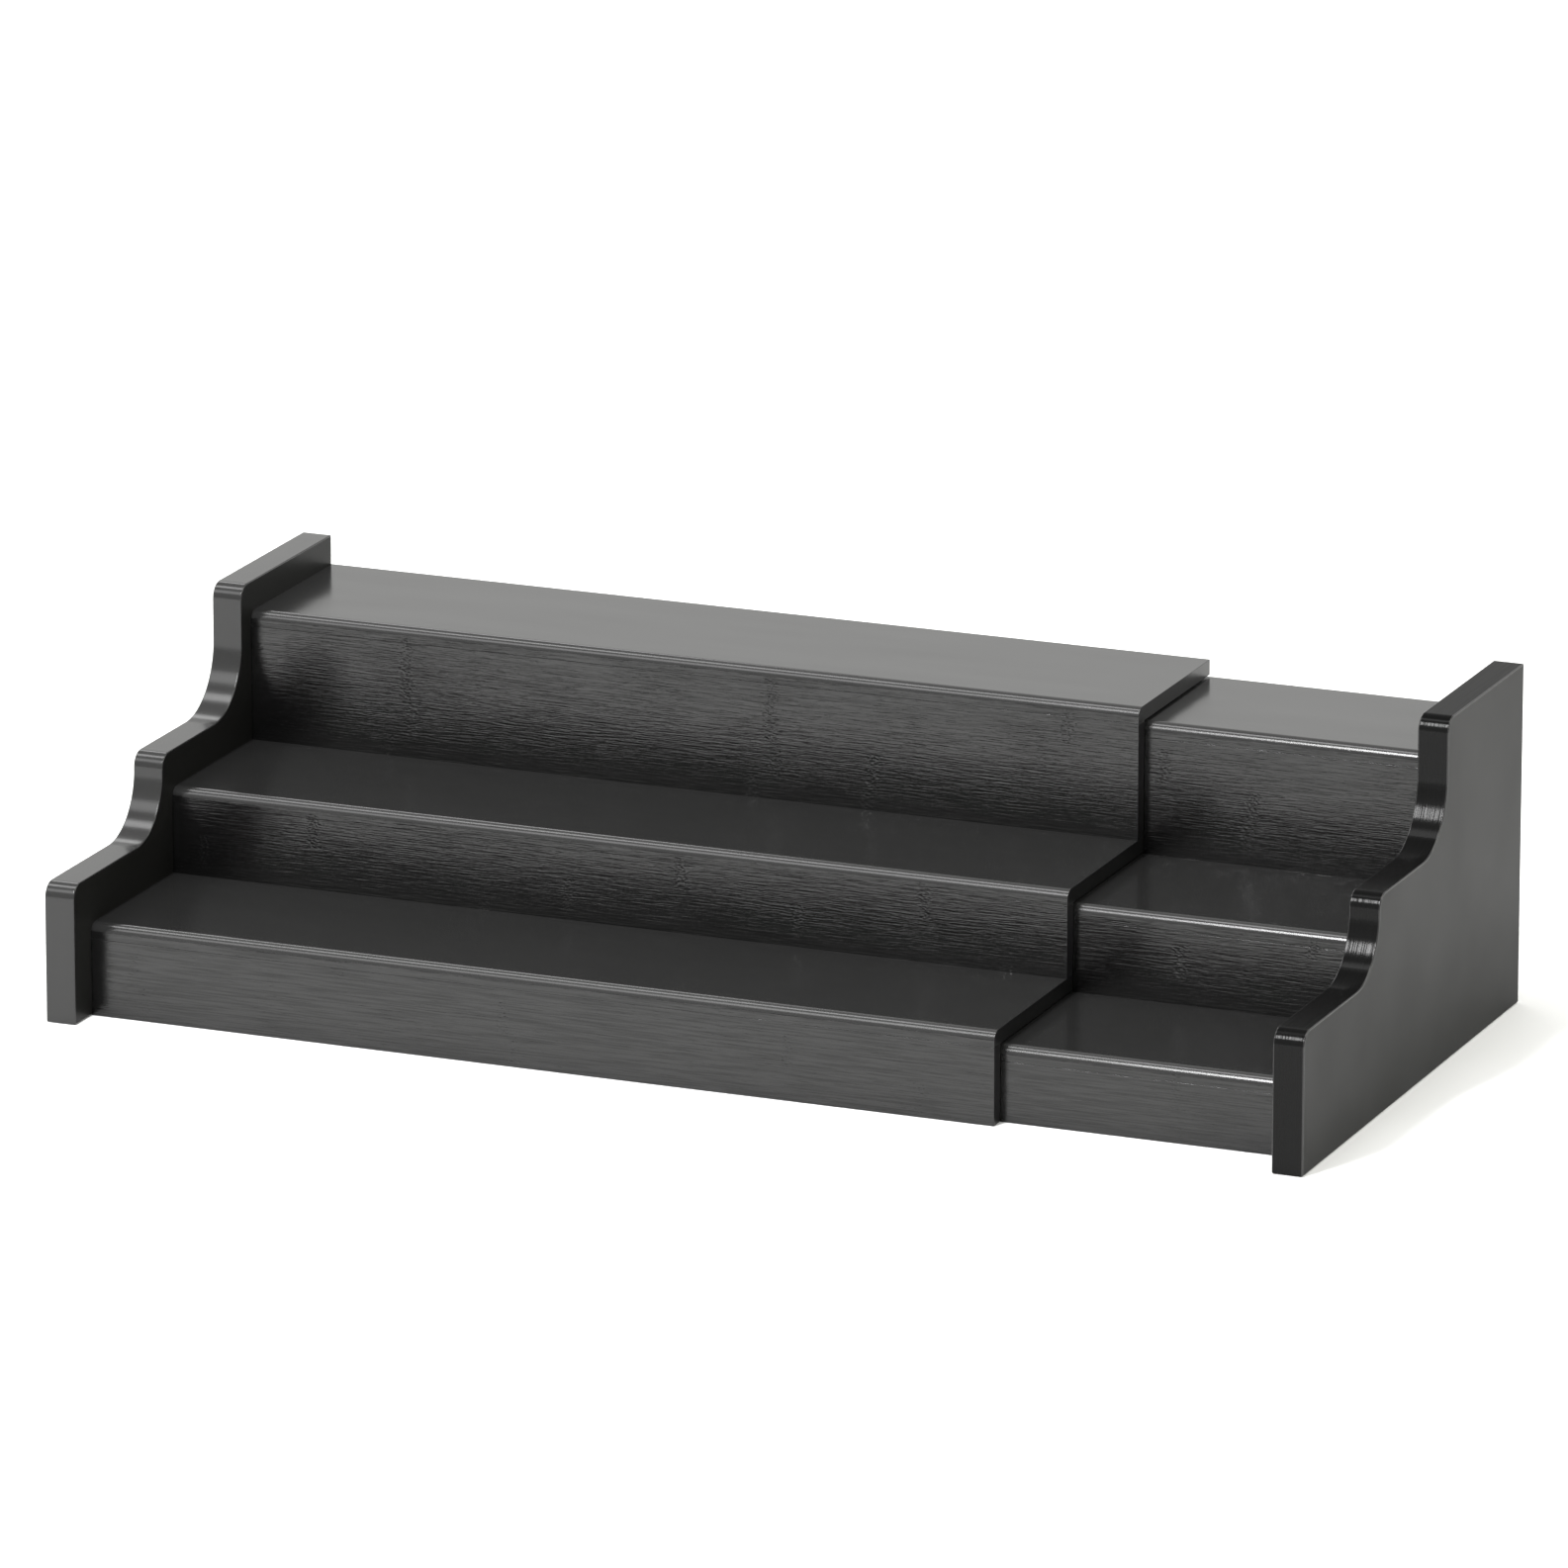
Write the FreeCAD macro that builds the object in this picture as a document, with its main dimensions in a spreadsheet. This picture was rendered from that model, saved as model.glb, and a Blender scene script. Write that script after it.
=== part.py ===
"""Stepped spice rack in two halves that slide into each other.

The outer half is the left side panel with three treads and three risers.
The inner half is the right side panel with the same steps one board smaller,
so that it slides under the outer half and the rack grows wider or narrower.

Millimetres. X runs along the rack to the right, Y to the back and Z up.
The origin is on the table, under the middle of the rack at rest.
"""
import FreeCAD, Part
import os
import Sketcher

V = FreeCAD.Vector

STEPS = ("lower", "middle", "upper")

# Driving dimensions: name, millimetres, what it measures.
SIZES = (
    ("depth", 235.0, "side panel, front to back"),
    ("height", 132.0, "side panel, at its back"),
    ("panel_thickness", 12.0, "side panel"),
    ("lower_shoulder", 54.0, "side panel's first flat, above the table"),
    ("middle_shoulder", 84.0, "side panel's second flat, above the table"),
    ("nose_radius", 6.0, "rounded outer corners of the side panel's steps"),
    ("cove_radius", 26.0, "hollow corners of the side panel's steps, where the step is tall enough"),
    ("upright_flat", 0.5, "least straight part between a hollow corner and the rounded one above it"),
    ("panel_arris", 0.5, "eased edges of a side panel"),
    ("board", 6.0, "thickness of treads and risers"),
    ("board_length", 363.0, "outer treads and risers, along X"),
    ("pulled_out", 113.0, "inner treads in view beside the outer ones at rest"),
    ("front_setback", 14.4, "side panel's front edge to the lowest riser's face"),
    ("lower_run", 73.0, "lowest riser's face to the middle one's"),
    ("middle_run", 72.4, "middle riser's face to the upper one's"),
    ("step_lead", 8.6, "how far a side panel's step stands in front of the riser beside it"),
    ("lower_top", 35.8, "outer lower tread's top"),
    ("middle_top", 69.4, "outer middle tread's top"),
    ("upper_lip", 11.6, "side panel's height above the outer upper tread"),
    ("nosing_radius", 3.5, "rounded top front edge of a tread"),
    ("front_gap", 0.3, "between an outer riser and the inner one behind it"),
    ("top_gap", 0.7, "between an outer tread and the inner one under it"),
    ("cleat", 12.0, "section of the square strips that carry the treads at a side panel"),
    ("cleat_inset", 8.0, "cleat's ends from the riser and from the tread's back edge"),
    ("end_gap", 1.0, "inner boards' free ends to the left cleats when the rack is closed"),
    ("support_thickness", 10.0, "stepped support under the inner half's free end"),
    ("support_inset", 4.0, "support's face from the inner boards' free ends"),
    ("screw_length", 17.0, "cleat screw, with its head"),
    ("shank_radius", 1.5, "cleat screw"),
    ("head_radius", 3.0, "cleat screw's countersunk head"),
    ("head_depth", 1.8, "cleat screw's countersunk head"),
    ("hole_clearance", 0.15, "cleat's hole around a screw's shank"),
    ("pilot_depth", 7.0, "screw hole in a side panel"),
)

doc = FreeCAD.newDocument("spice_rack")
nodes = []


def add_sizes():
    """Write the driving dimensions into the sheet, one row each."""
    sheet = doc.addObject("Spreadsheet::Sheet", "Sizes")
    for row, (name, value, meaning) in enumerate(SIZES, start=1):
        sheet.set(f"A{row}", name)
        sheet.set(f"B{row}", str(value))
        sheet.set(f"C{row}", meaning)
        sheet.setAlias(f"B{row}", name)
    doc.recompute()


def add_places():
    """Work out, from the sheet, the places that several pieces share."""
    places = doc.addObject("App::VarSet", "Places")

    def place(name, expression):
        places.addProperty("App::PropertyFloat", name, "Places")
        places.setExpression(name, expression)

    place("front", "-Sizes.depth / 2")
    place("back", "Sizes.depth / 2")
    place("half_width", "Sizes.panel_thickness + (Sizes.board_length + Sizes.pulled_out) / 2")
    place("left_face", "-Places.half_width + Sizes.panel_thickness")
    place("right_face", "Places.half_width - Sizes.panel_thickness")
    place("outer_start", "Places.left_face")
    place("outer_length", "Sizes.board_length")
    place("inner_length", "Sizes.board_length - Sizes.cleat - Sizes.end_gap")
    place("inner_start", "Places.right_face - Places.inner_length")

    place("outer_lower_front", "Places.front + Sizes.front_setback")
    place("outer_middle_front", "Places.outer_lower_front + Sizes.lower_run")
    place("outer_upper_front", "Places.outer_middle_front + Sizes.middle_run")
    place("outer_lower_top", "Sizes.lower_top")
    place("outer_middle_top", "Sizes.middle_top")
    place("outer_upper_top", "Sizes.height - Sizes.upper_lip")
    for step in STEPS:
        place(f"inner_{step}_front", f"Places.outer_{step}_front + Sizes.board + Sizes.front_gap")
        place(f"inner_{step}_top", f"Places.outer_{step}_top - Sizes.board - Sizes.top_gap")

    for half in ("outer", "inner"):
        # A tread runs back under the next riser, and the upper one to the side panels' back edge.
        place(f"{half}_lower_back", f"Places.{half}_middle_front + Sizes.board")
        place(f"{half}_middle_back", f"Places.{half}_upper_front + Sizes.board")
        place(f"{half}_upper_back", "Places.back")
        for step in STEPS:
            name = f"{half}_{step}"
            place(f"{name}_under", f"Places.{name}_top - Sizes.board")
            place(f"{name}_cleat_front", f"Places.{name}_front + Sizes.board + Sizes.cleat_inset")
            place(f"{name}_cleat_length", f"Places.{name}_back - Sizes.cleat_inset - Places.{name}_cleat_front")
            for screw, share in (("front", "0.25"), ("back", "0.75")):
                at = f"Places.{name}_cleat_front + {share} * Places.{name}_cleat_length"
                place(f"{name}_{screw}_screw", at)
    doc.recompute()


def put(piece, x, y, z):
    """Bind a piece's place to three expressions."""
    for axis, expression in zip("xyz", (x, y, z)):
        piece.setExpression(f"Placement.Base.{axis}", expression)


def keep(piece, label):
    """Name a finished sub-part and list it for writing."""
    piece.Label = label
    nodes.append(piece)


class Outline:
    """A sketch on the YZ plane of a body: Y to the right and Z up, from the body's own corner."""

    def __init__(self, body, name):
        self.sketch = body.newObject("Sketcher::SketchObject", name)
        planes = [feature for feature in body.Origin.OriginFeatures if feature.Role == "YZ_Plane"]
        self.sketch.AttachmentSupport = (planes[0], [""])
        self.sketch.MapMode = "FlatFace"

    def line(self, start, end):
        """Add a straight run, level or upright, and give its number."""
        number = self.sketch.addGeometry(Part.LineSegment(V(*start, 0), V(*end, 0)))
        kind = "Horizontal" if start[1] == end[1] else "Vertical"
        self.sketch.addConstraint(Sketcher.Constraint(kind, number))
        return number

    def quarter(self, centre, radius, start_degrees, bound_to):
        """Add a quarter circle, anticlockwise from its start, and give its number."""
        turn = FreeCAD.Units.Quantity("1 deg").getValueAs("rad").Value
        circle = Part.Circle(V(*centre, 0), V(0, 0, 1), radius)
        arc = Part.ArcOfCircle(circle, start_degrees * turn, (start_degrees + 90) * turn)
        number = self.sketch.addGeometry(arc)
        self.bind(Sketcher.Constraint("Radius", number, radius), f"radius_{number}", bound_to)
        return number

    def join(self, kind, first, first_end, second, second_end):
        """Make two ends meet, at a corner (Coincident) or smoothly (Tangent)."""
        self.sketch.addConstraint(Sketcher.Constraint(kind, first, first_end, second, second_end))

    def bind(self, constraint, name, expression):
        """Add a dimension and tie it to an expression."""
        number = self.sketch.addConstraint(constraint)
        self.sketch.renameConstraint(number, name)
        self.sketch.setExpression(f"Constraints.{name}", expression)

    def span(self, kind, name, number, end, expression):
        """Set how far an end lies from the sketch's corner, DistanceX or DistanceY."""
        self.bind(Sketcher.Constraint(kind, -1, 1, number, end, self.value(expression)), name, expression)

    def value(self, expression):
        """An expression's present value, to start the sketch from."""
        return float(self.sketch.evalExpression(expression))

    def polygon(self, corners):
        """Draw a closed outline of level and upright runs, from (across, up) pairs of expressions."""
        points = [(self.value(across), self.value(up)) for across, up in corners]
        count = len(points)
        for number in range(count):
            self.line(points[number], points[(number + 1) % count])
        for number in range(count):
            self.join("Coincident", number, 2, (number + 1) % count, 1)
        self.join("Coincident", 0, 1, -1, 1)
        for number in range(1, count - 1):
            before, here = corners[number - 1], corners[number]
            if here[0] != before[0]:
                self.span("DistanceX", f"across_{number}", number, 1, here[0])
            if here[1] != before[1]:
                self.span("DistanceY", f"up_{number}", number, 1, here[1])


def pad(body, outline, length, towards_left=False):
    """Give an outline its length along X."""
    feature = body.newObject("PartDesign::Pad", f"{body.Name}_pad")
    feature.Profile = outline.sketch
    feature.Reversed = towards_left
    feature.setExpression("Length", length)
    doc.recompute()
    return feature


def panel_outline(body):
    """Side profile with three flats; its upright edges meet them in hollow and rounded corners."""
    outline = Outline(body, f"{body.Name}_profile")
    middle_step = "Sizes.front_setback + Sizes.lower_run - Sizes.step_lead"
    upper_step = f"{middle_step} + Sizes.middle_run"
    rise = "Sizes.{0} - Sizes.{1} - Sizes.nose_radius - Sizes.upright_flat"
    lower_cove = f"min(Sizes.cove_radius; {rise.format('middle_shoulder', 'lower_shoulder')})"
    upper_cove = f"min(Sizes.cove_radius; {rise.format('height', 'middle_shoulder')})"

    depth = outline.value("Sizes.depth")
    height = outline.value("Sizes.height")
    nose = outline.value("Sizes.nose_radius")
    base = outline.line((0, 0), (depth, 0))
    back = outline.line((depth, 0), (depth, height))
    outline.join("Coincident", base, 2, back, 1)
    outline.join("Coincident", base, 1, -1, 1)
    outline.span("DistanceX", "depth", base, 2, "Sizes.depth")
    outline.span("DistanceY", "height", back, 2, "Sizes.height")

    steps = (
        ("upper", upper_step, "Sizes.height", upper_cove, "Sizes.middle_shoulder"),
        ("middle", middle_step, "Sizes.middle_shoulder", lower_cove, "Sizes.lower_shoulder"),
    )
    joined_to = (back, 2)
    smooth = "Coincident"
    flat_end = depth
    for step, edge_at, flat_at, cove_bound, next_flat_at in steps:
        edge = outline.value(edge_at)
        level = outline.value(flat_at)
        cove = outline.value(cove_bound)
        below = outline.value(next_flat_at)
        flat = outline.line((flat_end, level), (edge + nose, level))
        outline.join(smooth, *joined_to, flat, 1)
        corner = outline.quarter((edge + nose, level - nose), nose, 90, "Sizes.nose_radius")
        outline.join("Tangent", flat, 2, corner, 1)
        upright = outline.line((edge, level - nose), (edge, below + cove))
        outline.join("Tangent", corner, 2, upright, 1)
        hollow = outline.quarter((edge - cove, below + cove), cove, 270, cove_bound)
        outline.join("Tangent", upright, 2, hollow, 2)
        outline.span("DistanceX", f"{step}_edge", upright, 1, edge_at)
        outline.span("DistanceY", f"{step}_foot", hollow, 1, next_flat_at)
        joined_to = (hollow, 1)
        smooth = "Tangent"
        flat_end = edge - cove

    level = outline.value("Sizes.lower_shoulder")
    flat = outline.line((flat_end, level), (nose, level))
    outline.join(smooth, *joined_to, flat, 1)
    corner = outline.quarter((nose, level - nose), nose, 90, "Sizes.nose_radius")
    outline.join("Tangent", flat, 2, corner, 1)
    front = outline.line((0, level - nose), (0, 0))
    outline.join("Tangent", corner, 2, front, 1)
    outline.join("Coincident", front, 2, base, 1)
    return outline


def add_pilot_holes(body, half, towards_left):
    """Blind holes for the cleat screws, in the panel's inner face."""
    outline = Outline(body, f"{body.Name}_pilots")
    for step in STEPS:
        for screw in ("front", "back"):
            across = f"Places.{half}_{step}_{screw}_screw - Places.front"
            up = f"Places.{half}_{step}_under - Sizes.cleat / 2"
            radius = outline.value("Sizes.shank_radius")
            centre = V(outline.value(across), outline.value(up), 0)
            number = outline.sketch.addGeometry(Part.Circle(centre, V(0, 0, 1), radius))
            hole = Sketcher.Constraint("Radius", number, radius)
            outline.bind(hole, f"{step}_{screw}_radius", "Sizes.shank_radius")
            outline.span("DistanceX", f"{step}_{screw}_across", number, 3, across)
            outline.span("DistanceY", f"{step}_{screw}_up", number, 3, up)
    before = body.Shape.Volume
    holes = body.newObject("PartDesign::Pocket", f"{body.Name}_pilot_holes")
    holes.Profile = outline.sketch
    holes.Reversed = not towards_left
    holes.setExpression("Length", "Sizes.pilot_depth")
    doc.recompute()
    if body.Shape.Volume >= before:
        raise RuntimeError(f"{body.Label}: the pilot holes cut nothing")


def add_side_panel(label, half, face, towards_left):
    """A side panel: its inner face is at the body's corner and its thickness points outwards."""
    body = doc.addObject("PartDesign::Body", label)
    put(body, face, "Places.front", "0")
    plate = pad(body, panel_outline(body), "Sizes.panel_thickness", towards_left)
    names = []
    for number, edge in enumerate(plate.Shape.Edges, start=1):
        box = edge.BoundBox
        if box.XLength < 0.01:  # an edge of one of the two broad faces, not one across the thickness
            names.append(f"Edge{number}")
    eased = body.newObject("PartDesign::Fillet", f"{label}_eased")
    eased.Base = (plate, names)
    eased.setExpression("Radius", "Sizes.panel_arris")
    doc.recompute()
    add_pilot_holes(body, half, towards_left)
    keep(body, label)


def add_riser(half, step, foot):
    """An upright board that stands on the table or on the tread before it."""
    label = f"{half}_{step}_riser"
    name = f"Places.{half}_{step}"
    body = doc.addObject("PartDesign::Body", label)
    put(body, f"Places.{half}_start", f"{name}_front", foot)
    outline = Outline(body, f"{label}_section")
    rise = f"{name}_under - ({foot})"
    outline.polygon((("0", "0"), ("Sizes.board", "0"), ("Sizes.board", rise), ("0", rise)))
    pad(body, outline, f"Places.{half}_length")
    keep(body, label)


def add_tread(half, step):
    """A level board on top of its riser, with a rounded nosing flush with the riser's face."""
    label = f"{half}_{step}_tread"
    name = f"Places.{half}_{step}"
    body = doc.addObject("PartDesign::Body", label)
    put(body, f"Places.{half}_start", f"{name}_front", f"{name}_under")
    outline = Outline(body, f"{label}_section")
    across = outline.value(f"{name}_back - {name}_front")
    thick = outline.value("Sizes.board")
    nosing = outline.value("Sizes.nosing_radius")
    under = outline.line((0, 0), (across, 0))
    back = outline.line((across, 0), (across, thick))
    top = outline.line((across, thick), (nosing, thick))
    round_edge = outline.quarter((nosing, thick - nosing), nosing, 90, "Sizes.nosing_radius")
    face = outline.line((0, thick - nosing), (0, 0))
    outline.join("Coincident", under, 1, -1, 1)
    outline.join("Coincident", under, 2, back, 1)
    outline.join("Coincident", back, 2, top, 1)
    outline.join("Tangent", top, 2, round_edge, 1)
    outline.join("Tangent", round_edge, 2, face, 1)
    outline.join("Coincident", face, 2, under, 1)
    outline.span("DistanceX", "across", under, 2, f"{name}_back - {name}_front")
    outline.span("DistanceY", "thickness", back, 2, "Sizes.board")
    pad(body, outline, f"Places.{half}_length")
    keep(body, label)


def add_screw(name, spot, towards_left, shank_radius):
    """A countersunk screw, or the hole it needs, with its head's face at the spot (x, y, z)."""
    shank = doc.addObject("Part::Cylinder", f"{name}_shank")
    shank.setExpression("Radius", shank_radius)
    shank.setExpression("Height", "Sizes.screw_length")
    head = doc.addObject("Part::Cone", f"{name}_head")
    head.setExpression("Radius1", "Sizes.head_radius")
    head.setExpression("Radius2", shank_radius)
    head.setExpression("Height", "Sizes.head_depth")
    screw = doc.addObject("Part::MultiFuse", name)
    screw.Shapes = [shank, head]
    quarter_turn = -90 if towards_left else 90
    screw.Placement = FreeCAD.Placement(V(0, 0, 0), FreeCAD.Rotation(V(0, 1, 0), quarter_turn))
    put(screw, *spot)
    return screw


def add_cleats(side, half, face, towards_left):
    """Three square strips under the treads' ends, each held to the side panel by two screws."""
    screws = []
    free_side = f"{face} + Sizes.cleat" if towards_left else f"{face} - Sizes.cleat"
    corner = face if towards_left else free_side
    for step in STEPS:
        label = f"{side}_{step}_cleat"
        name = f"Places.{half}_{step}"
        strip = doc.addObject("Part::Box", f"{label}_strip")
        strip.setExpression("Length", "Sizes.cleat")
        strip.setExpression("Width", f"{name}_cleat_length")
        strip.setExpression("Height", "Sizes.cleat")
        put(strip, corner, f"{name}_cleat_front", f"{name}_under - Sizes.cleat")
        holes = []
        for screw in ("front", "back"):
            spot = (free_side, f"{name}_{screw}_screw", f"{name}_under - Sizes.cleat / 2")
            loose = "Sizes.shank_radius + Sizes.hole_clearance"
            holes.append(add_screw(f"{label}_{screw}_hole", spot, towards_left, loose))
            screws.append(add_screw(f"{label}_{screw}_screw", spot, towards_left, "Sizes.shank_radius"))
        bored = doc.addObject("Part::MultiFuse", f"{label}_holes")
        bored.Shapes = holes
        cleat = doc.addObject("Part::Cut", label)
        cleat.Base = strip
        cleat.Tool = bored
        keep(cleat, label)
    group = doc.addObject("Part::Compound", f"{side}_cleat_screws")
    group.Links = screws
    keep(group, f"{side}_cleat_screws")


def add_end_support():
    """A stepped board that stands on the table under the inner half's free end."""
    label = "inner_end_support"
    body = doc.addObject("PartDesign::Body", label)
    start = "Places.inner_lower_front + Sizes.board"
    put(body, "Places.inner_start + Sizes.support_inset", start, "0")
    outline = Outline(body, f"{label}_profile")
    middle = f"Places.inner_lower_back - ({start})"
    upper = f"Places.inner_middle_back - ({start})"
    back = f"Places.back - ({start})"
    corners = (
        ("0", "0"),
        (back, "0"),
        (back, "Places.inner_upper_under"),
        (upper, "Places.inner_upper_under"),
        (upper, "Places.inner_middle_under"),
        (middle, "Places.inner_middle_under"),
        (middle, "Places.inner_lower_under"),
        ("0", "Places.inner_lower_under"),
    )
    outline.polygon(corners)
    pad(body, outline, "Sizes.support_thickness")
    keep(body, label)


def check_and_write():
    """Refuse a document with a failed feature or a bad solid, then write one file for each sub-part."""
    doc.recompute()
    for item in doc.Objects:
        if "Invalid" in item.State or "Error" in item.State:
            raise RuntimeError(f"{item.Label} failed: {item.State}")
        if item.TypeId == "Sketcher::SketchObject" and not item.FullyConstrained:
            raise RuntimeError(f"{item.Label} is not fully constrained")
    for node in nodes:
        if node.Shape.isNull() or not node.Shape.isValid():
            raise RuntimeError(f"{node.Label} has no valid shape")
    os.makedirs("parts", exist_ok=True)
    for node in nodes:
        node.Shape.exportStep(os.path.join("parts", f"{node.Label}.step"))
        box = node.Shape.BoundBox
        print(f"{node.Label}: {box.XLength:.1f} x {box.YLength:.1f} x {box.ZLength:.1f} mm, "
              f"{len(node.Shape.Solids)} solid(s), {node.Shape.Volume / 1000:.1f} cm3")


add_sizes()
add_places()
add_side_panel("left_side_panel", "outer", "Places.left_face", True)
add_side_panel("right_side_panel", "inner", "Places.right_face", False)
for half in ("outer", "inner"):
    foot = "0"
    for step in STEPS:
        add_riser(half, step, foot)
        add_tread(half, step)
        foot = f"Places.{half}_{step}_top"
add_cleats("left", "outer", "Places.left_face", True)
add_cleats("right", "inner", "Places.right_face", False)
add_end_support()
check_and_write()
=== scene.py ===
"""Looks of the stepped spice rack: black lacquered bamboo boards between two shaped side panels.

The outer half carries the left panel, and the inner half, which slides in and out of it, the right one.
"""
import math

import bmesh
import bpy
from mathutils import Matrix, Vector


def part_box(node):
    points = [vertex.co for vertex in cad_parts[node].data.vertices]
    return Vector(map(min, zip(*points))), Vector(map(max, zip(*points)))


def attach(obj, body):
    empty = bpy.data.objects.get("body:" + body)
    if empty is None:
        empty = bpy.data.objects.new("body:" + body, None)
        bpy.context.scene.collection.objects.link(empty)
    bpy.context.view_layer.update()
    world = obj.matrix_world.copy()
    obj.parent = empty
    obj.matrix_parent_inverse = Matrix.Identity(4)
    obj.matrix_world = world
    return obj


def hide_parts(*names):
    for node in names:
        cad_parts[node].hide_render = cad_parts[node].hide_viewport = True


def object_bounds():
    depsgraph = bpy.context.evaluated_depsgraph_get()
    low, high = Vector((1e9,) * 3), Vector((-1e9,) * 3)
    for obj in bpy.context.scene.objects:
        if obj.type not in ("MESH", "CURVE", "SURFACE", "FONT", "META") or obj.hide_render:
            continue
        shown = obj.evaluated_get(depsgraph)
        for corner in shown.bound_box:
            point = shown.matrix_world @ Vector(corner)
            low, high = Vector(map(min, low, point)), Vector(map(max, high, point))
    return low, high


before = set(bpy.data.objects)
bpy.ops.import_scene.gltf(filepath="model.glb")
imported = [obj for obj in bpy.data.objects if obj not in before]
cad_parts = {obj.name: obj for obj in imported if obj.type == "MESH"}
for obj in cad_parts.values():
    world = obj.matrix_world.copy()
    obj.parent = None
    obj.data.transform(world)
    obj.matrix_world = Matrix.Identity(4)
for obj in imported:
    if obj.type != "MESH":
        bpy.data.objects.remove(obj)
cad_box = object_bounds()

MM = 0.001
STEPS = ("lower", "middle", "upper")

# Side panel profile, from the panel's front and the table up.
LOWER_SHOULDER = 54.0 * MM
MIDDLE_SHOULDER = 84.0 * MM
NOSE_RADIUS = 6.0 * MM
LOWER_COVE_RADIUS = 23.5 * MM
UPPER_COVE_RADIUS = 26.0 * MM
STEP_LEAD = 8.6 * MM  # a panel's step stands this far in front of the riser beside it
NOSE_SEGMENTS = 16
COVE_SEGMENTS = 32

# Rounded and eased edges.
NOSING_RADIUS = 3.7 * MM
NOSING_SEGMENTS = 16
PANEL_ARRIS = 0.5 * MM
BOARD_ARRIS = 0.15 * MM
CLEAT_ARRIS = 0.3 * MM
SUPPORT_ARRIS = 0.5 * MM
ARRIS_SEGMENTS = 3
EASED_ANGLE = math.radians(40)
SMOOTH_ANGLE = math.radians(50)

# How much of a face's normal lies along an axis: more than this, and the face is square to the axis, mostly
# faces along it, or only leans that way.
SQUARE_ON = 0.98
MOSTLY = 0.9
LEANING = 0.2

# Screws: each cleat has one at a quarter and one at three quarters of its length.
SCREW_SHARES = (0.25, 0.75)
SCREW_TURNS = (12, 71, 33, 55, 84, 27)  # how far each of a panel's six heads is turned, in degrees
SCREW_SIDES = 32
SCREW_SMOOTH_ANGLE = math.radians(35)
SHANK_RADIUS = 1.5 * MM
CORE_RADIUS = 1.05 * MM
HEAD_RADIUS = 2.9 * MM
HEAD_DEPTH = 1.8 * MM
# (height, radius) from the head's face down: rounded rim, cone, plain neck, core and point.
SCREW_OUTLINE = ((0.0, 2.75 * MM), (-0.05 * MM, 2.86 * MM), (-0.15 * MM, HEAD_RADIUS), (-0.3 * MM, 2.82 * MM),
                 (-HEAD_DEPTH, SHANK_RADIUS), (-5.0 * MM, SHANK_RADIUS), (-5.4 * MM, CORE_RADIUS),
                 (-14.0 * MM, CORE_RADIUS), (-17.0 * MM, 0.1 * MM))
# The hole it stands in, from above the cleat's face down: countersink, then a bore cut right through.
SCREW_HOLE = ((1.0 * MM, 3.1 * MM), (0.0, 3.1 * MM), (-HEAD_DEPTH, 1.65 * MM), (-13.0 * MM, 1.65 * MM))
CROSS_LENGTH = 3.4 * MM
CROSS_WIDTH = 0.8 * MM
CROSS_DEPTH = 1.2 * MM
CROSS_FLOOR = (0.45, 0.6, 1)  # a slot's floor as shares of its mouth, along, across and down
THREAD_RIB = 0.42 * MM
THREAD_PITCH = 1.25 * MM
THREAD_TURNS = 7
THREAD_STEPS = 16
THREAD_BOTTOM = -14.4 * MM

# Bamboo boards are laid up from narrow strips; each strip has a knuckle every so often.
STRIP_HEIGHT = 13 * MM
KNUCKLE_SPACING = 150 * MM
KNUCKLE_ROW = 70 * MM
KNUCKLE_CORE = 0.03  # from a knuckle's middle to where it starts to fade, as a share of the spacing
KNUCKLE_EDGE = 0.045  # and to where it has gone
KNUCKLE_RAGGEDNESS = 0.04

# Sizes of the softer patterns in the lacquer, in millimetres along X, Y and Z.
PATCH_MM = (40, 40, 40)
WAVE_MM = (90, 30, 30)
PEBBLE_MM = (1.2, 1.2, 0.9)
RAGGED_MM = (3, 3, 3)

LACQUER_IOR = 1.5
FAINTEST_GRAIN = 0.6  # how much of the grain's relief is left in the patches where it shows least
SHEEN_SPREAD = 0.07  # how much rougher or smoother than usual a patch may be

# Camera, as the rack is usually shown: a long lens from the right front, a little above.
VIEW_AZIMUTH = math.radians(22.3575)
VIEW_ELEVATION = math.radians(15.9424)
VIEW_ROLL = math.radians(0.055)
VIEW_DISTANCE = 4.7663
VIEW_RIGHT = 0.0446
VIEW_UP = 0.11521
LENS_MM = 298.28
SENSOR_MM = 36
VIEW_CLIP_END = 100

# Stage.
FLOOR_SIZE = 60
FLOOR_HEIGHT = -0.0002  # just under the rack's feet, so that their faces don't lie in one plane
HORIZON_GLOW = 1.02
OVERHEAD_GLOW = 0.9
# Soft lights: name, place, the point it faces, width and depth in metres, brightness, colour.
SOFTBOXES = (
    # Lights the upper treads and the tops of the left edge.
    ("rear_softbox", (-1.22, 1.27, 1.36), (-1.22, 0, 0), 1.0, 0.34, 3.6, "#ffffff"),
    # Brightens the curves of the edges and nosings where they look up.
    ("overhead_softbox", (-0.55, -0.13, 1.48), (-0.55, 0, 0), 1.5, 0.36, 6.5, "#ffffff"),
    # Gives the risers their broad sheen.
    ("front_softbox", (-1.0, -1.22, 1.4), (-1.0, 0, 0), 1.2, 0.62, 3.3, "#ffffff"),
    # Draws the narrow white line along each nosing and the bright ticks on the right edge.
    ("front_strip", (-0.26, -1.22, 1.4), (-0.26, 0, 0), 0.2, 0.62, 90.0, "#ffffff"),
    # Fills the right panel's outer face, a little warmer than the rest.
    ("right_softbox", (1.4, 0.3, 1.5), (0.3, 0, 0), 1.4, 1.2, 3.2, "#fffff5"),
)


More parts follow.
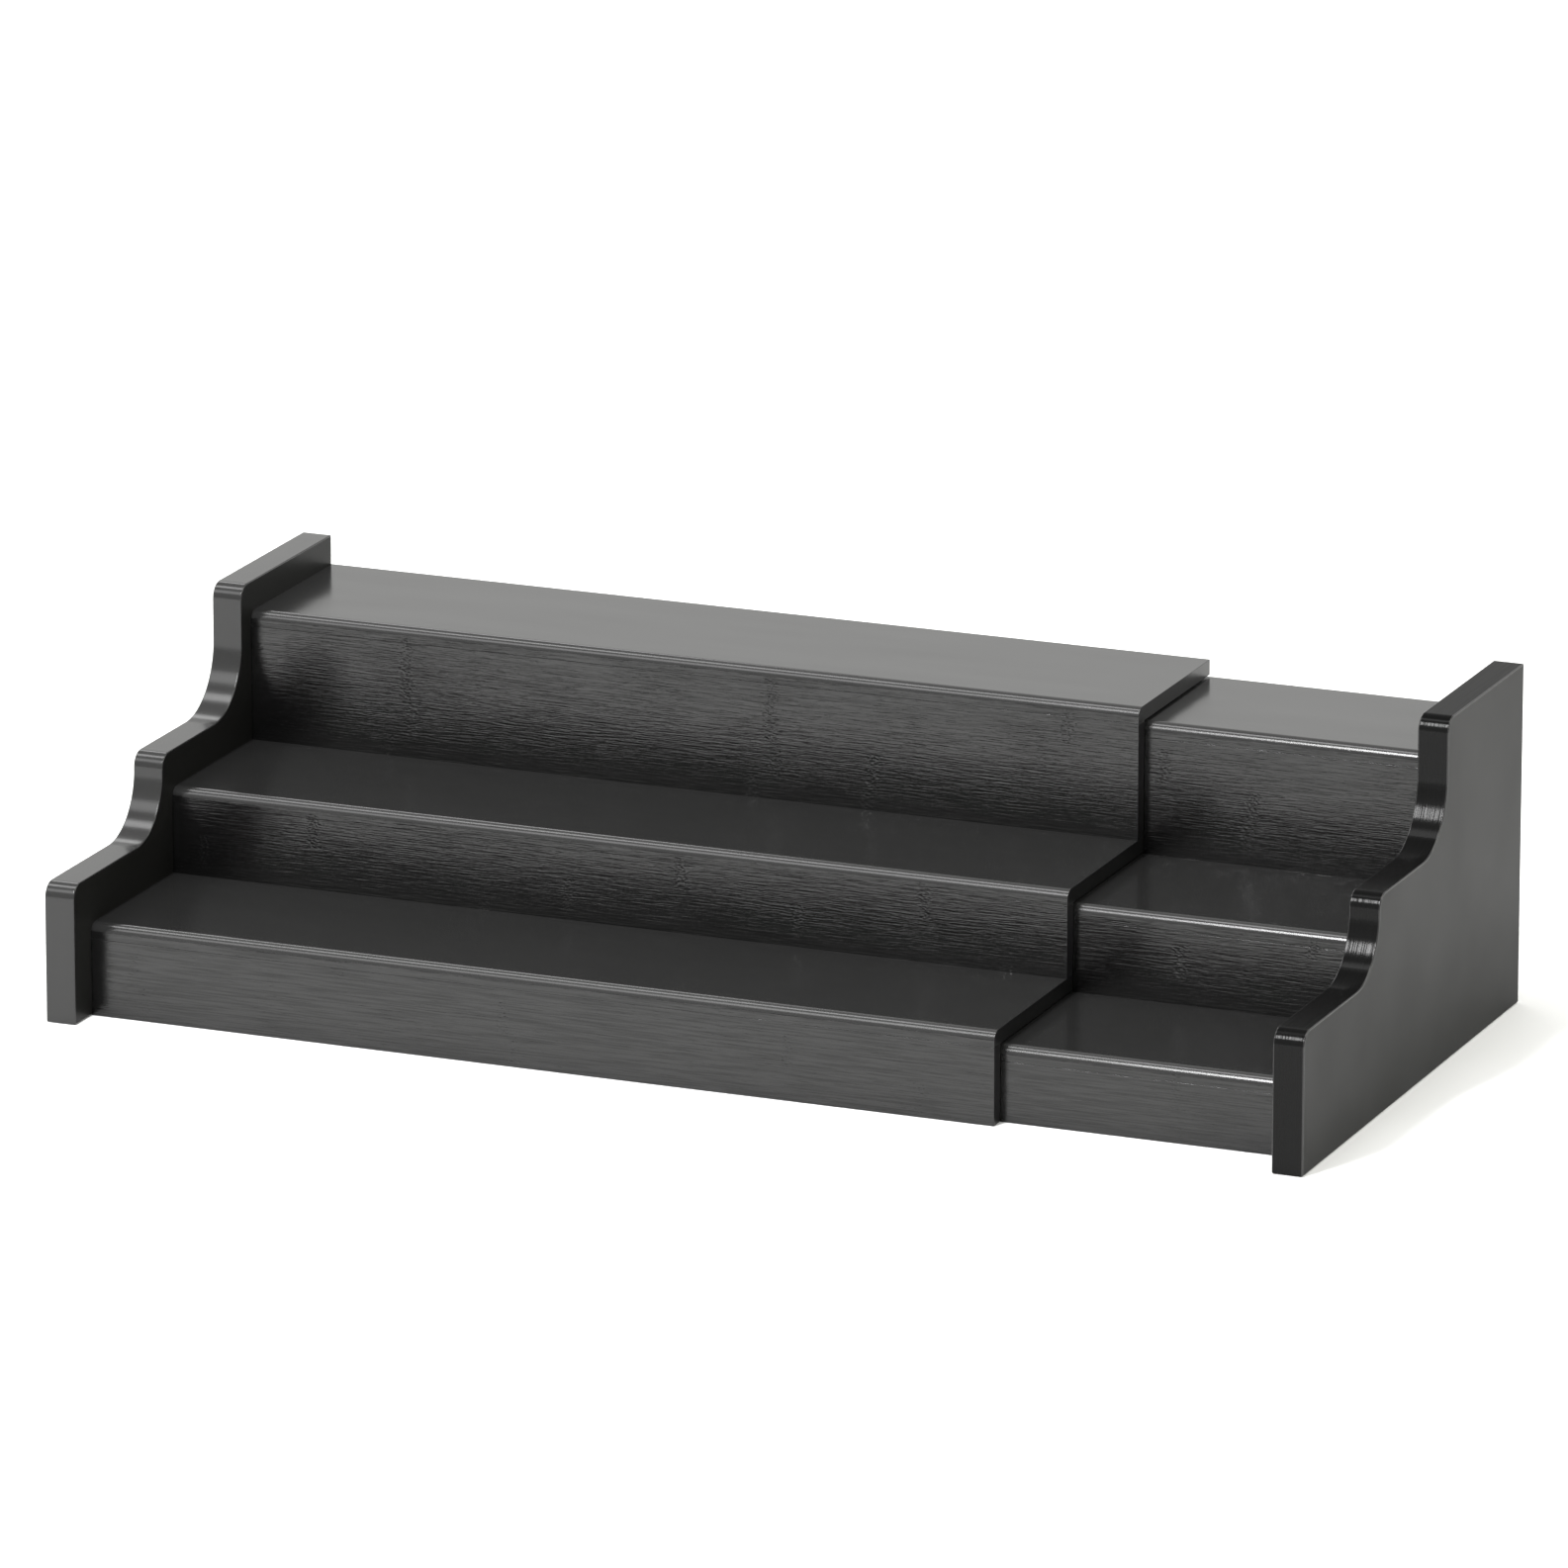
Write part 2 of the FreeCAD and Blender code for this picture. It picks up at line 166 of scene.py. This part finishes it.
def linear(hex_colour):
    """An sRGB colour such as "#1a1a1a" as linear red, green, blue and alpha."""
    values = [int(hex_colour[i:i + 2], 16) / 255 for i in (1, 3, 5)]
    return tuple(v / 12.92 if v <= 0.04045 else ((v + 0.055) / 1.055) ** 2.4 for v in values) + (1.0,)


# ---------------------------------------------------------------- materials

def add(tree, kind, inputs=None, **settings):
    """Add a node: settings are its own, inputs maps a socket to a value or to another node's output."""
    made = tree.nodes.new(kind)
    for name, value in settings.items():
        setattr(made, name, value)
    for socket, value in (inputs or {}).items():
        if isinstance(value, bpy.types.NodeSocket):
            tree.links.new(value, made.inputs[socket])
        else:
            made.inputs[socket].default_value = value
    return made


def new_material(name):
    """An empty node material and its shader."""
    material = bpy.data.materials.new(name)
    material.use_nodes = True
    tree = material.node_tree
    tree.nodes.clear()
    shader = add(tree, "ShaderNodeBsdfPrincipled")
    add(tree, "ShaderNodeOutputMaterial", {"Surface": shader.outputs["BSDF"]})
    return material, tree, shader


def fit_to_rack(piece, node, body):
    """Let a finished piece stand for its node and move with its half."""
    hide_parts(node)
    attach(piece, body)


def ranged(tree, value, low, high, to_low, to_high):
    """Stretch a value from one range onto another, and hold it there."""
    return add(tree, "ShaderNodeMapRange", {"Value": value, "From Min": low, "From Max": high,
                                            "To Min": to_low, "To Max": to_high}).outputs["Result"]


def combine(tree, operation, *values):
    """One sum, product or the like of two or three numbers."""
    return add(tree, "ShaderNodeMath", dict(enumerate(values)), operation=operation).outputs["Value"]


def noise(tree, place, size_mm, detail=2.0, distortion=0.0):
    """Soft noise whose lumps have the given size, in millimetres, along X, Y and Z."""
    scale = Vector([1 / (size * MM) for size in size_mm])
    scaled = add(tree, "ShaderNodeMapping", {"Vector": place, "Scale": scale}).outputs["Vector"]
    return add(tree, "ShaderNodeTexNoise", {"Vector": scaled, "Scale": 1.0, "Detail": detail,
                                            "Distortion": distortion}).outputs["Fac"]


def knuckle_mask(tree, place):
    """Where the bamboo's knuckles cross its strips: 1 on a knuckle, 0 between them."""
    rows = add(tree, "ShaderNodeVectorMath", {0: place, 1: (0.0, 1 / KNUCKLE_ROW, 1 / STRIP_HEIGHT)},
               operation="MULTIPLY").outputs["Vector"]
    strip = add(tree, "ShaderNodeVectorMath", {0: rows}, operation="FLOOR").outputs["Vector"]
    shift = add(tree, "ShaderNodeTexWhiteNoise", {"Vector": strip}).outputs["Value"]
    x = add(tree, "ShaderNodeSeparateXYZ", {"Vector": place}).outputs["X"]
    along = combine(tree, "MULTIPLY_ADD", x, 1 / KNUCKLE_SPACING, shift)
    away = combine(tree, "PINGPONG", along, 0.5)
    ragged = noise(tree, place, RAGGED_MM)
    edge = combine(tree, "MULTIPLY_ADD", ragged, KNUCKLE_RAGGEDNESS, away)
    return ranged(tree, edge, KNUCKLE_CORE, KNUCKLE_EDGE, 1.0, 0.0)


def pore_size(grain_mm):
    """Pores run with the grain, twice as long as a streak and somewhat finer."""
    longest = max(grain_mm)
    return [size * (2.0 if size == longest else 0.8) for size in grain_mm]


def raise_relief(tree, height, height_mm, below=None):
    """Bump of the given height, on top of the relief below it if there is one."""
    inputs = {"Height": height, "Distance": height_mm * MM}
    if below is not None:
        inputs["Normal"] = below
    return add(tree, "ShaderNodeBump", inputs).outputs["Normal"]


def blend_colours(tree, share, dark, light):
    """A colour between two, by share."""
    return add(tree, "ShaderNodeMix", {0: share, "A": linear(dark), "B": linear(light)},
               data_type="RGBA").outputs["Result"]


def lacquered_bamboo(name, grain_mm, grain_relief_mm, wave_relief_mm, roughness, dark, light,
                     gloss=0.5, knuckle_relief_mm=0.0, distortion=0.4, detail=3.0):
    """Black lacquer over bamboo. grain_mm is the size of one fibre streak along X, Y and Z.

    gloss is the shader's specular level: one number for an even coat, or two for a thin one, first where it
    has sunk into the pores and then where it lies on top of the fibres.
    """
    material, tree, shader = new_material(name)
    place = add(tree, "ShaderNodeTexCoord").outputs["Object"]
    patches = noise(tree, place, PATCH_MM)

    # The grain stands out more in some patches than in others, over faint waves left by sanding.
    streaks = noise(tree, place, grain_mm, detail, distortion)
    grain = combine(tree, "MULTIPLY", streaks, ranged(tree, patches, 0.35, 0.65, FAINTEST_GRAIN, 1.0))
    relief = raise_relief(tree, noise(tree, place, WAVE_MM, 1.0), wave_relief_mm)
    relief = raise_relief(tree, grain, grain_relief_mm, relief)
    if knuckle_relief_mm:
        pebbles = combine(tree, "SUBTRACT", noise(tree, place, PEBBLE_MM, 1.0), 0.5)
        knuckles = combine(tree, "MULTIPLY", pebbles, knuckle_mask(tree, place))
        relief = raise_relief(tree, knuckles, knuckle_relief_mm, relief)

    sheen = ranged(tree, patches, 0.3, 0.7, roughness * (1 - SHEEN_SPREAD), roughness * (1 + SHEEN_SPREAD))
    tree.links.new(blend_colours(tree, streaks, dark, light), shader.inputs["Base Color"])
    tree.links.new(sheen, shader.inputs["Roughness"])
    tree.links.new(relief, shader.inputs["Normal"])
    shader.inputs["IOR"].default_value = LACQUER_IOR
    if isinstance(gloss, tuple):
        pores = noise(tree, place, pore_size(grain_mm), 2.0, distortion)
        tree.links.new(ranged(tree, pores, 0.35, 0.6, *gloss), shader.inputs["Specular IOR Level"])
    else:
        shader.inputs["Specular IOR Level"].default_value = gloss
    return material


# Thin lacquer brushed over the fibres: fine streaks along the board that break up every reflection, and a
# band of tiny pebbles where a knuckle crosses a strip. Fibres are about 0.3 mm thick, and drawn at twice that
# so that they show. Its colour is painted shade: far darker than the treads', it stands in for the shade low
# on the risers and in the corners under each tread.
riser_face_painted_shade = lacquered_bamboo("lacquered_bamboo_riser_face", (11, 0.65, 0.65), 0.16, 0.3, 0.17,
                              "#060606", "#090909", gloss=(0.41, 0.57), knuckle_relief_mm=0.22)

# Lacquer flowed on thick and left to level: an even dark grey with a soft sheen and hardly any grain, only
# the strips' slow changes, which are wider than single fibres.
tread_face = lacquered_bamboo("lacquered_bamboo_tread_face", (30, 1.6, 1.6), 0.01, 0.2, 0.17,
                              "#1a1a1a", "#1f1f1f")

# A flatted broad face: deep charcoal that mirrors almost nothing.
panel_face = lacquered_bamboo("lacquered_bamboo_panel_face", (1.6, 1.6, 30), 0.003, 0.03, 0.36,
                              "#131312", "#151514", gloss=0.0655)

# A sanded and filled edge: bright, smooth highlights across each curve. Both panels' eased corners have it
# too.
left_edge = lacquered_bamboo("lacquered_bamboo_edge_smooth", (16, 1.2, 1.2), 0.015, 0.05, 0.19,
                             "#181818", "#1c1c1c", gloss=0.445)

# An edge left as the cutter made it: ridges 0.6 mm apart cross the highlights as fine ticks. End grain drinks
# the lacquer, most where the edge looks up, so there is one finish for each slope, from upright to level.
COMBED_GLOSS = (0.122, 0.1, 0.077, 0.055, 0.0215)
right_edges = [lacquered_bamboo(f"lacquered_bamboo_edge_combed_{number}", (0.6, 30, 30), 0.07, 0.05, 0.17,
                                "#0a0a0a", "#0d0d0d", gloss=gloss, distortion=0.0, detail=0.0)
               for number, gloss in enumerate(COMBED_GLOSS, 1)]

# Sawn board ends, sealed with one coat: darker than the faces, with a dull, dotted sheen.
board_end = lacquered_bamboo("lacquered_bamboo_board_end", (1.2, 1.2, 1.2), 0.012, 0.05, 0.3,
                             "#0c0c0c", "#121212", gloss=0.275)

# The hidden strips and support have one thin coat: a satin black that still shows its fibres.
cleat_face = lacquered_bamboo("lacquered_bamboo_cleat_face", (1.1, 18, 1.1), 0.05, 0.05, 0.3,
                              "#141414", "#1c1c1c", gloss=0.32)

# Their sawn ends, where most of that coat has soaked in: nearly matt.
cleat_end = lacquered_bamboo("lacquered_bamboo_cleat_end", (0.8, 0.8, 0.8), 0.04, 0.05, 0.45,
                             "#121212", "#1e1e1e", gloss=0.22)


def zinc_plated_steel():
    """Bright zinc plate: a grey metal with faint blue and yellow blushes and a fine, crystalline bloom."""
    material, tree, shader = new_material("zinc_plated_steel")
    place = add(tree, "ShaderNodeTexCoord").outputs["Object"]
    blush = ranged(tree, noise(tree, place, (2.5, 2.5, 2.5)), 0.35, 0.65, 0.0, 1.0)
    bloom = noise(tree, place, (0.25, 0.25, 0.25), 3.0)
    tree.links.new(blend_colours(tree, blush, "#a9adb3", "#b9b6a6"), shader.inputs["Base Color"])
    tree.links.new(ranged(tree, bloom, 0.3, 0.7, 0.22, 0.38), shader.inputs["Roughness"])
    tree.links.new(raise_relief(tree, bloom, 0.006), shader.inputs["Normal"])
    shader.inputs["Metallic"].default_value = 1.0
    return material


# Steel plated with bright zinc: small silvery glints in the dark corners under the treads.
zinc_plate = zinc_plated_steel()


# ---------------------------------------------------------------- modelling

def start_box(name, low, high):
    """A box from corner to corner, ready for edit mode, with nothing else selected."""
    bpy.ops.object.select_all(action="DESELECT")
    low, high = Vector(low), Vector(high)
    bpy.ops.mesh.primitive_cube_add(size=1, location=(low + high) / 2, scale=high - low)
    bpy.ops.object.transform_apply(location=True, rotation=True, scale=True)
    piece = bpy.context.object
    piece.name = name
    piece.data.name = name
    return piece


def choose(piece, mode, test):
    """In edit mode, select the faces or edges that pass the test, and nothing else."""
    bpy.ops.mesh.select_mode(type=mode)
    bpy.ops.mesh.select_all(action="DESELECT")
    mesh = bmesh.from_edit_mesh(piece.data)
    for item in mesh.faces if mode == "FACE" else mesh.edges:
        item.select_set(test(item))
    bmesh.update_edit_mesh(piece.data)


def near(first, second):
    """Whether two lengths are the same, to a thousandth of a millimetre."""
    return abs(first - second) < 1e-6


def runs_along_x(edge, y, z):
    """Whether an edge lies along X at that depth and height."""
    return all(near(vert.co.y, y) and near(vert.co.z, z) for vert in edge.verts)


def round_edge(piece, y, z, radius, segments):
    """Round the edge that runs along X at that depth and height."""
    choose(piece, "EDGE", lambda edge: runs_along_x(edge, y, z))
    bpy.ops.mesh.bevel(offset=radius, offset_type="OFFSET", segments=segments, profile=0.5, affect="EDGES")


def ease(piece, width):
    """Ease the sharp edges, then shade the piece smoothly without rounding its flats."""
    bevel = piece.modifiers.new("eased", "BEVEL")
    bevel.width = width
    bevel.segments = ARRIS_SEGMENTS
    bevel.limit_method = "ANGLE"
    bevel.angle_limit = EASED_ANGLE
    bpy.ops.object.modifier_apply(modifier=bevel.name)
    bpy.ops.object.shade_smooth_by_angle(angle=SMOOTH_ANGLE)
    flats = piece.modifiers.new("flats", "WEIGHTED_NORMAL")
    flats.keep_sharp = True
    bpy.ops.object.modifier_apply(modifier=flats.name)


def paint(piece, finish_of):
    """Give each face the material that finish_of chooses from its normal."""
    finishes = [finish_of(face.normal) for face in piece.data.polygons]
    used = list(dict.fromkeys(finishes))
    for material in used:
        piece.data.materials.append(material)
    for face, finish in zip(piece.data.polygons, finishes):
        face.material_index = used.index(finish)


def stepped_block(name, low, high, edges, levels):
    """A block from low to high that climbs to the next level at each edge, left in edit mode."""
    piece = start_box(name, low, (high.x, high.y, levels[0]))
    bpy.ops.object.mode_set(mode="EDIT")
    for y in edges:
        bpy.ops.mesh.select_all(action="SELECT")
        bpy.ops.mesh.bisect(plane_co=(0, y, 0), plane_no=(0, 1, 0))
    for y, level, top in zip(edges, levels, levels[1:]):
        choose(piece, "FACE", lambda face: near(face.calc_center_median().z, level)
               and face.calc_center_median().y > y)
        bpy.ops.mesh.extrude_region_move(TRANSFORM_OT_translate={"value": (0, 0, top - level)})
    bpy.ops.mesh.select_all(action="SELECT")
    bpy.ops.mesh.dissolve_limited(angle_limit=math.radians(1))
    return piece


def make_side_panel(node, body, edge_finishes):
    """One side panel: a low block raised in two steps, its corners rounded and hollowed.

    edge_finishes are for the edge's slopes, from upright to level.
    """
    low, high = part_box(node)
    edges = [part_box(f"outer_{step}_riser")[0].y - STEP_LEAD for step in ("middle", "upper")]
    levels = (LOWER_SHOULDER, MIDDLE_SHOULDER, high.z)
    piece = stepped_block(f"{node}_lacquered", low, high, edges, levels)
    for y, z in zip((low.y, *edges), levels):
        round_edge(piece, y, z, NOSE_RADIUS, NOSE_SEGMENTS)
    for y, z, radius in zip(edges, levels, (LOWER_COVE_RADIUS, UPPER_COVE_RADIUS)):
        round_edge(piece, y, z, radius, COVE_SEGMENTS)
    bpy.ops.object.mode_set(mode="OBJECT")
    ease(piece, PANEL_ARRIS)

    def finish_of(normal):
        if abs(normal.x) > SQUARE_ON:
            return panel_face
        if abs(normal.x) > LEANING:
            return left_edge
        slope = int(abs(normal.z) * len(edge_finishes))
        return edge_finishes[min(slope, len(edge_finishes) - 1)]

    paint(piece, finish_of)
    fit_to_rack(piece, node, body)


def make_riser(half, step):
    """The upright board at the front of one step."""
    node = f"{half}_{step}_riser"
    low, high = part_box(node)
    piece = start_box(f"{node}_lacquered", low, high)
    ease(piece, BOARD_ARRIS)
    paint(piece, lambda normal: board_end if abs(normal.x) > MOSTLY else riser_face_painted_shade)
    fit_to_rack(piece, node, f"{half}_half")


def make_tread(half, step):
    """The level board of one step, its front edge rounded into a nosing."""
    node = f"{half}_{step}_tread"
    low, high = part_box(node)
    piece = start_box(f"{node}_lacquered", low, high)
    bpy.ops.object.mode_set(mode="EDIT")
    round_edge(piece, low.y, high.z, NOSING_RADIUS, NOSING_SEGMENTS)
    bpy.ops.object.mode_set(mode="OBJECT")
    ease(piece, BOARD_ARRIS)

    def finish_of(normal):
        if abs(normal.x) > MOSTLY:
            return board_end
        # A tread's front takes the risers' grain, and with it their painted shade.
        return riser_face_painted_shade if normal.y < -SQUARE_ON else tread_face

    paint(piece, finish_of)
    fit_to_rack(piece, node, f"{half}_half")


def strip_finish(normal):
    """A strip or support's finish: sawn at its ends, planed elsewhere."""
    return cleat_end if abs(normal.y) > MOSTLY else cleat_face


def make_cleat(side, step, body, facing):
    """A square strip under a tread's end, bored for two countersunk screws from its free side."""
    node = f"{side}_{step}_cleat"
    low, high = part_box(node)
    piece = start_box(f"{node}_lacquered", low, high)
    for place in screw_places(node, facing):
        cutter = turned_pin(f"{node}_drill", SCREW_HOLE)
        stand(cutter, place, facing)
        cut(piece, cutter)
    ease(piece, CLEAT_ARRIS)
    paint(piece, strip_finish)
    fit_to_rack(piece, node, body)


def screw_places(node, facing):
    """Where a cleat's two screws meet its free side."""
    low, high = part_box(node)
    x = high.x if facing > 0 else low.x
    return [(x, low.y + share * (high.y - low.y), (low.z + high.z) / 2) for share in SCREW_SHARES]


def turned_pin(name, outline):
    """A closed turned shape along Z, made ring by ring from (height, radius) pairs, highest ring first."""
    bpy.ops.object.select_all(action="DESELECT")
    (top, radius), *rest = outline
    bpy.ops.mesh.primitive_circle_add(vertices=SCREW_SIDES, radius=radius, fill_type="NGON",
                                      location=(0, 0, top))
    bpy.ops.object.transform_apply(location=True, rotation=True, scale=True)
    pin = bpy.context.object
    pin.name = name
    bpy.ops.object.mode_set(mode="EDIT")
    bpy.ops.mesh.select_all(action="SELECT")
    for height, next_radius in rest:
        bpy.ops.mesh.extrude_region_move(TRANSFORM_OT_translate={"value": (0, 0, height - top)})
        share = next_radius / radius
        bpy.ops.transform.resize(value=(share, share, 1), center_override=(0, 0, height))
        top, radius = height, next_radius
    bpy.ops.mesh.select_all(action="SELECT")
    bpy.ops.mesh.normals_make_consistent(inside=False)
    bpy.ops.object.mode_set(mode="OBJECT")
    return pin


def stand(piece, place, facing):
    """Lay a piece made along Z so that its top faces +X or -X at the place, and keep that in its mesh."""
    bpy.ops.object.select_all(action="DESELECT")
    piece.select_set(True)
    bpy.context.view_layer.objects.active = piece
    piece.rotation_euler = (0, math.radians(90 * facing), 0)
    piece.location = place
    bpy.ops.object.transform_apply(location=True, rotation=True, scale=True)


def cut(piece, cutter):
    """Take one closed shape out of another."""
    bpy.ops.object.select_all(action="DESELECT")
    piece.select_set(True)
    bpy.context.view_layer.objects.active = piece
    taken = piece.modifiers.new("cut", "BOOLEAN")
    taken.operation = "DIFFERENCE"
    taken.solver = "EXACT"
    taken.object = cutter
    bpy.ops.object.modifier_apply(modifier=taken.name)
    bpy.data.objects.remove(cutter)


def make_cross_arm(name, turn):
    """One arm of the cross in a screw's head: a slot that narrows towards its floor."""
    half_length, half_width = CROSS_LENGTH / 2, CROSS_WIDTH / 2
    arm = start_box(name, (-half_length, -half_width, -CROSS_DEPTH), (half_length, half_width, CROSS_DEPTH))
    bpy.ops.object.mode_set(mode="EDIT")
    choose(arm, "FACE", lambda face: face.normal.z < -MOSTLY)
    bpy.ops.transform.resize(value=CROSS_FLOOR, center_override=(0, 0, -CROSS_DEPTH))
    bpy.ops.object.mode_set(mode="OBJECT")
    arm.rotation_euler = (0, 0, turn)
    bpy.ops.object.transform_apply(location=True, rotation=True, scale=True)
    return arm


def make_thread():
    """The screw's raised thread: a three-sided rib wound round the core."""
    bpy.ops.object.select_all(action="DESELECT")
    bpy.ops.mesh.primitive_circle_add(vertices=3, radius=THREAD_RIB, fill_type="NOTHING",
                                      location=(SHANK_RADIUS - THREAD_RIB, 0, THREAD_BOTTOM),
                                      rotation=(math.radians(90), 0, math.radians(-90)))
    bpy.ops.object.transform_apply(location=True, rotation=True, scale=True)
    thread = bpy.context.object
    thread.name = "screw_thread"
    wound = thread.modifiers.new("wound", "SCREW")
    wound.angle = math.tau
    wound.screw_offset = THREAD_PITCH
    wound.iterations = THREAD_TURNS
    wound.steps = THREAD_STEPS
    wound.render_steps = THREAD_STEPS
    bpy.ops.object.modifier_apply(modifier=wound.name)
    bpy.ops.object.mode_set(mode="EDIT")
    bpy.ops.mesh.select_all(action="DESELECT")
    bpy.ops.mesh.select_mode(type="EDGE")
    bpy.ops.mesh.select_non_manifold()
    bpy.ops.mesh.fill_holes(sides=3)
    bpy.ops.mesh.select_all(action="SELECT")
    bpy.ops.mesh.normals_make_consistent(inside=False)
    bpy.ops.object.mode_set(mode="OBJECT")
    return thread


def join(pieces, name):
    """Several pieces as one."""
    bpy.ops.object.select_all(action="DESELECT")
    for piece in pieces:
        piece.select_set(True)
    bpy.context.view_layer.objects.active = pieces[0]
    bpy.ops.object.join()
    pieces[0].name = name
    pieces[0].data.name = name
    return pieces[0]


def make_screw():
    """A countersunk cross-head wood screw along Z, the middle of its head's face at the origin."""
    screw = turned_pin("screw", SCREW_OUTLINE)
    for turn in (0, math.radians(90)):
        cut(screw, make_cross_arm("cross_arm", turn))
    screw = join([screw, make_thread()], "screw")
    bpy.ops.object.shade_smooth_by_angle(angle=SCREW_SMOOTH_ANGLE)
    screw.data.materials.clear()
    screw.data.materials.append(zinc_plate)
    return screw


def make_screws(side, body, facing, pattern):
    """A panel's six screws, each a copy of the pattern turned a little differently, as screws end up."""
    copies = []
    for step in STEPS:
        for place in screw_places(f"{side}_{step}_cleat", facing):
            copy = pattern.copy()
            copy.data = pattern.data.copy()
            bpy.context.scene.collection.objects.link(copy)
            copy.data.transform(Matrix.Rotation(math.radians(SCREW_TURNS[len(copies)]), 4, "Z"))
            stand(copy, place, facing)
            copies.append(copy)
    fit_to_rack(join(copies, f"{side}_cleat_screws_zinc_plated"), f"{side}_cleat_screws", body)


def make_end_support():
    """The stepped board that carries the inner half's free end."""
    node = "inner_end_support"
    low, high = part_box(node)
    edges = [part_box(f"inner_{step}_tread")[1].y for step in ("lower", "middle")]
    levels = [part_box(f"inner_{step}_tread")[0].z for step in STEPS]
    piece = stepped_block(f"{node}_lacquered", low, high, edges, levels)
    bpy.ops.object.mode_set(mode="OBJECT")
    ease(piece, SUPPORT_ARRIS)
    paint(piece, strip_finish)
    fit_to_rack(piece, node, "inner_half")


make_side_panel("left_side_panel", "outer_half", [left_edge])
make_side_panel("right_side_panel", "inner_half", right_edges)
for half in ("outer", "inner"):
    for step in STEPS:
        make_riser(half, step)
        make_tread(half, step)
pattern = make_screw()
for side, body, facing in (("left", "outer_half", 1), ("right", "inner_half", -1)):
    for step in STEPS:
        make_cleat(side, step, body, facing)
    make_screws(side, body, facing, pattern)
bpy.data.objects.remove(pattern)
make_end_support()


# ---------------------------------------------------------------- stage

def make_floor():
    """A wide, matt, pale floor."""
    bpy.ops.object.select_all(action="DESELECT")
    bpy.ops.mesh.primitive_plane_add(size=FLOOR_SIZE, location=(0, 0, FLOOR_HEIGHT))
    floor = bpy.context.object
    floor.name = "floor"
    material, _, shader = new_material("pale_floor")
    shader.inputs["Base Color"].default_value = linear("#f4f4f4")
    shader.inputs["Roughness"].default_value = 0.9
    shader.inputs["Specular IOR Level"].default_value = 0.0
    floor.data.materials.append(material)


def make_softbox(name, place, towards, width, depth, radiance, colour):
    """A rectangular soft light; its power follows from how bright its face is."""
    light = bpy.data.lights.new(name, "AREA")
    light.color = linear(colour)[:3]
    light.shape = "RECTANGLE"
    light.size = width
    light.size_y = depth
    light.energy = radiance * width * depth * math.pi
    box = bpy.data.objects.new(name, light)
    bpy.context.scene.collection.objects.link(box)
    box.location = place
    box.rotation_euler = (Vector(towards) - Vector(place)).to_track_quat("-Z", "Y").to_euler()
    box.visible_camera = False


def make_world():
    """A white studio: bright round the horizon, a little dimmer overhead."""
    world = bpy.data.worlds.new("studio")
    world.use_nodes = True
    tree = world.node_tree
    tree.nodes.clear()
    direction = add(tree, "ShaderNodeTexCoord").outputs["Generated"]
    up = add(tree, "ShaderNodeSeparateXYZ", {"Vector": direction}).outputs["Z"]
    glow = ranged(tree, up, 0.5, 0.65, HORIZON_GLOW, OVERHEAD_GLOW)
    shade = add(tree, "ShaderNodeBackground", {"Color": linear("#fffffd"), "Strength": glow})
    add(tree, "ShaderNodeOutputWorld", {"Surface": shade.outputs["Background"]})
    bpy.context.scene.world = world


def make_camera():
    """A long lens aimed past the middle of the rack's front edge."""
    data = bpy.data.cameras.new("camera")
    data.sensor_width = SENSOR_MM
    data.lens = LENS_MM
    data.clip_end = VIEW_CLIP_END
    camera = bpy.data.objects.new("camera", data)
    bpy.context.scene.collection.objects.link(camera)
    back = Vector((math.sin(VIEW_AZIMUTH) * math.cos(VIEW_ELEVATION),
                   -math.cos(VIEW_AZIMUTH) * math.cos(VIEW_ELEVATION), math.sin(VIEW_ELEVATION)))
    level = back.to_track_quat("Z", "Y").to_matrix()
    turned = level @ Matrix.Rotation(VIEW_ROLL, 3, "Z")
    right, up = turned.col[0], turned.col[1]
    front_centre = Vector((0, cad_box[0].y, 0))
    place = front_centre + back * VIEW_DISTANCE + right * VIEW_RIGHT + up * VIEW_UP
    camera.matrix_world = Matrix.Translation(place) @ turned.to_4x4()
    bpy.context.scene.camera = camera


make_floor()
for softbox in SOFTBOXES:
    make_softbox(*softbox)
make_world()
make_camera()
bpy.context.scene.view_settings.view_transform = "Standard"
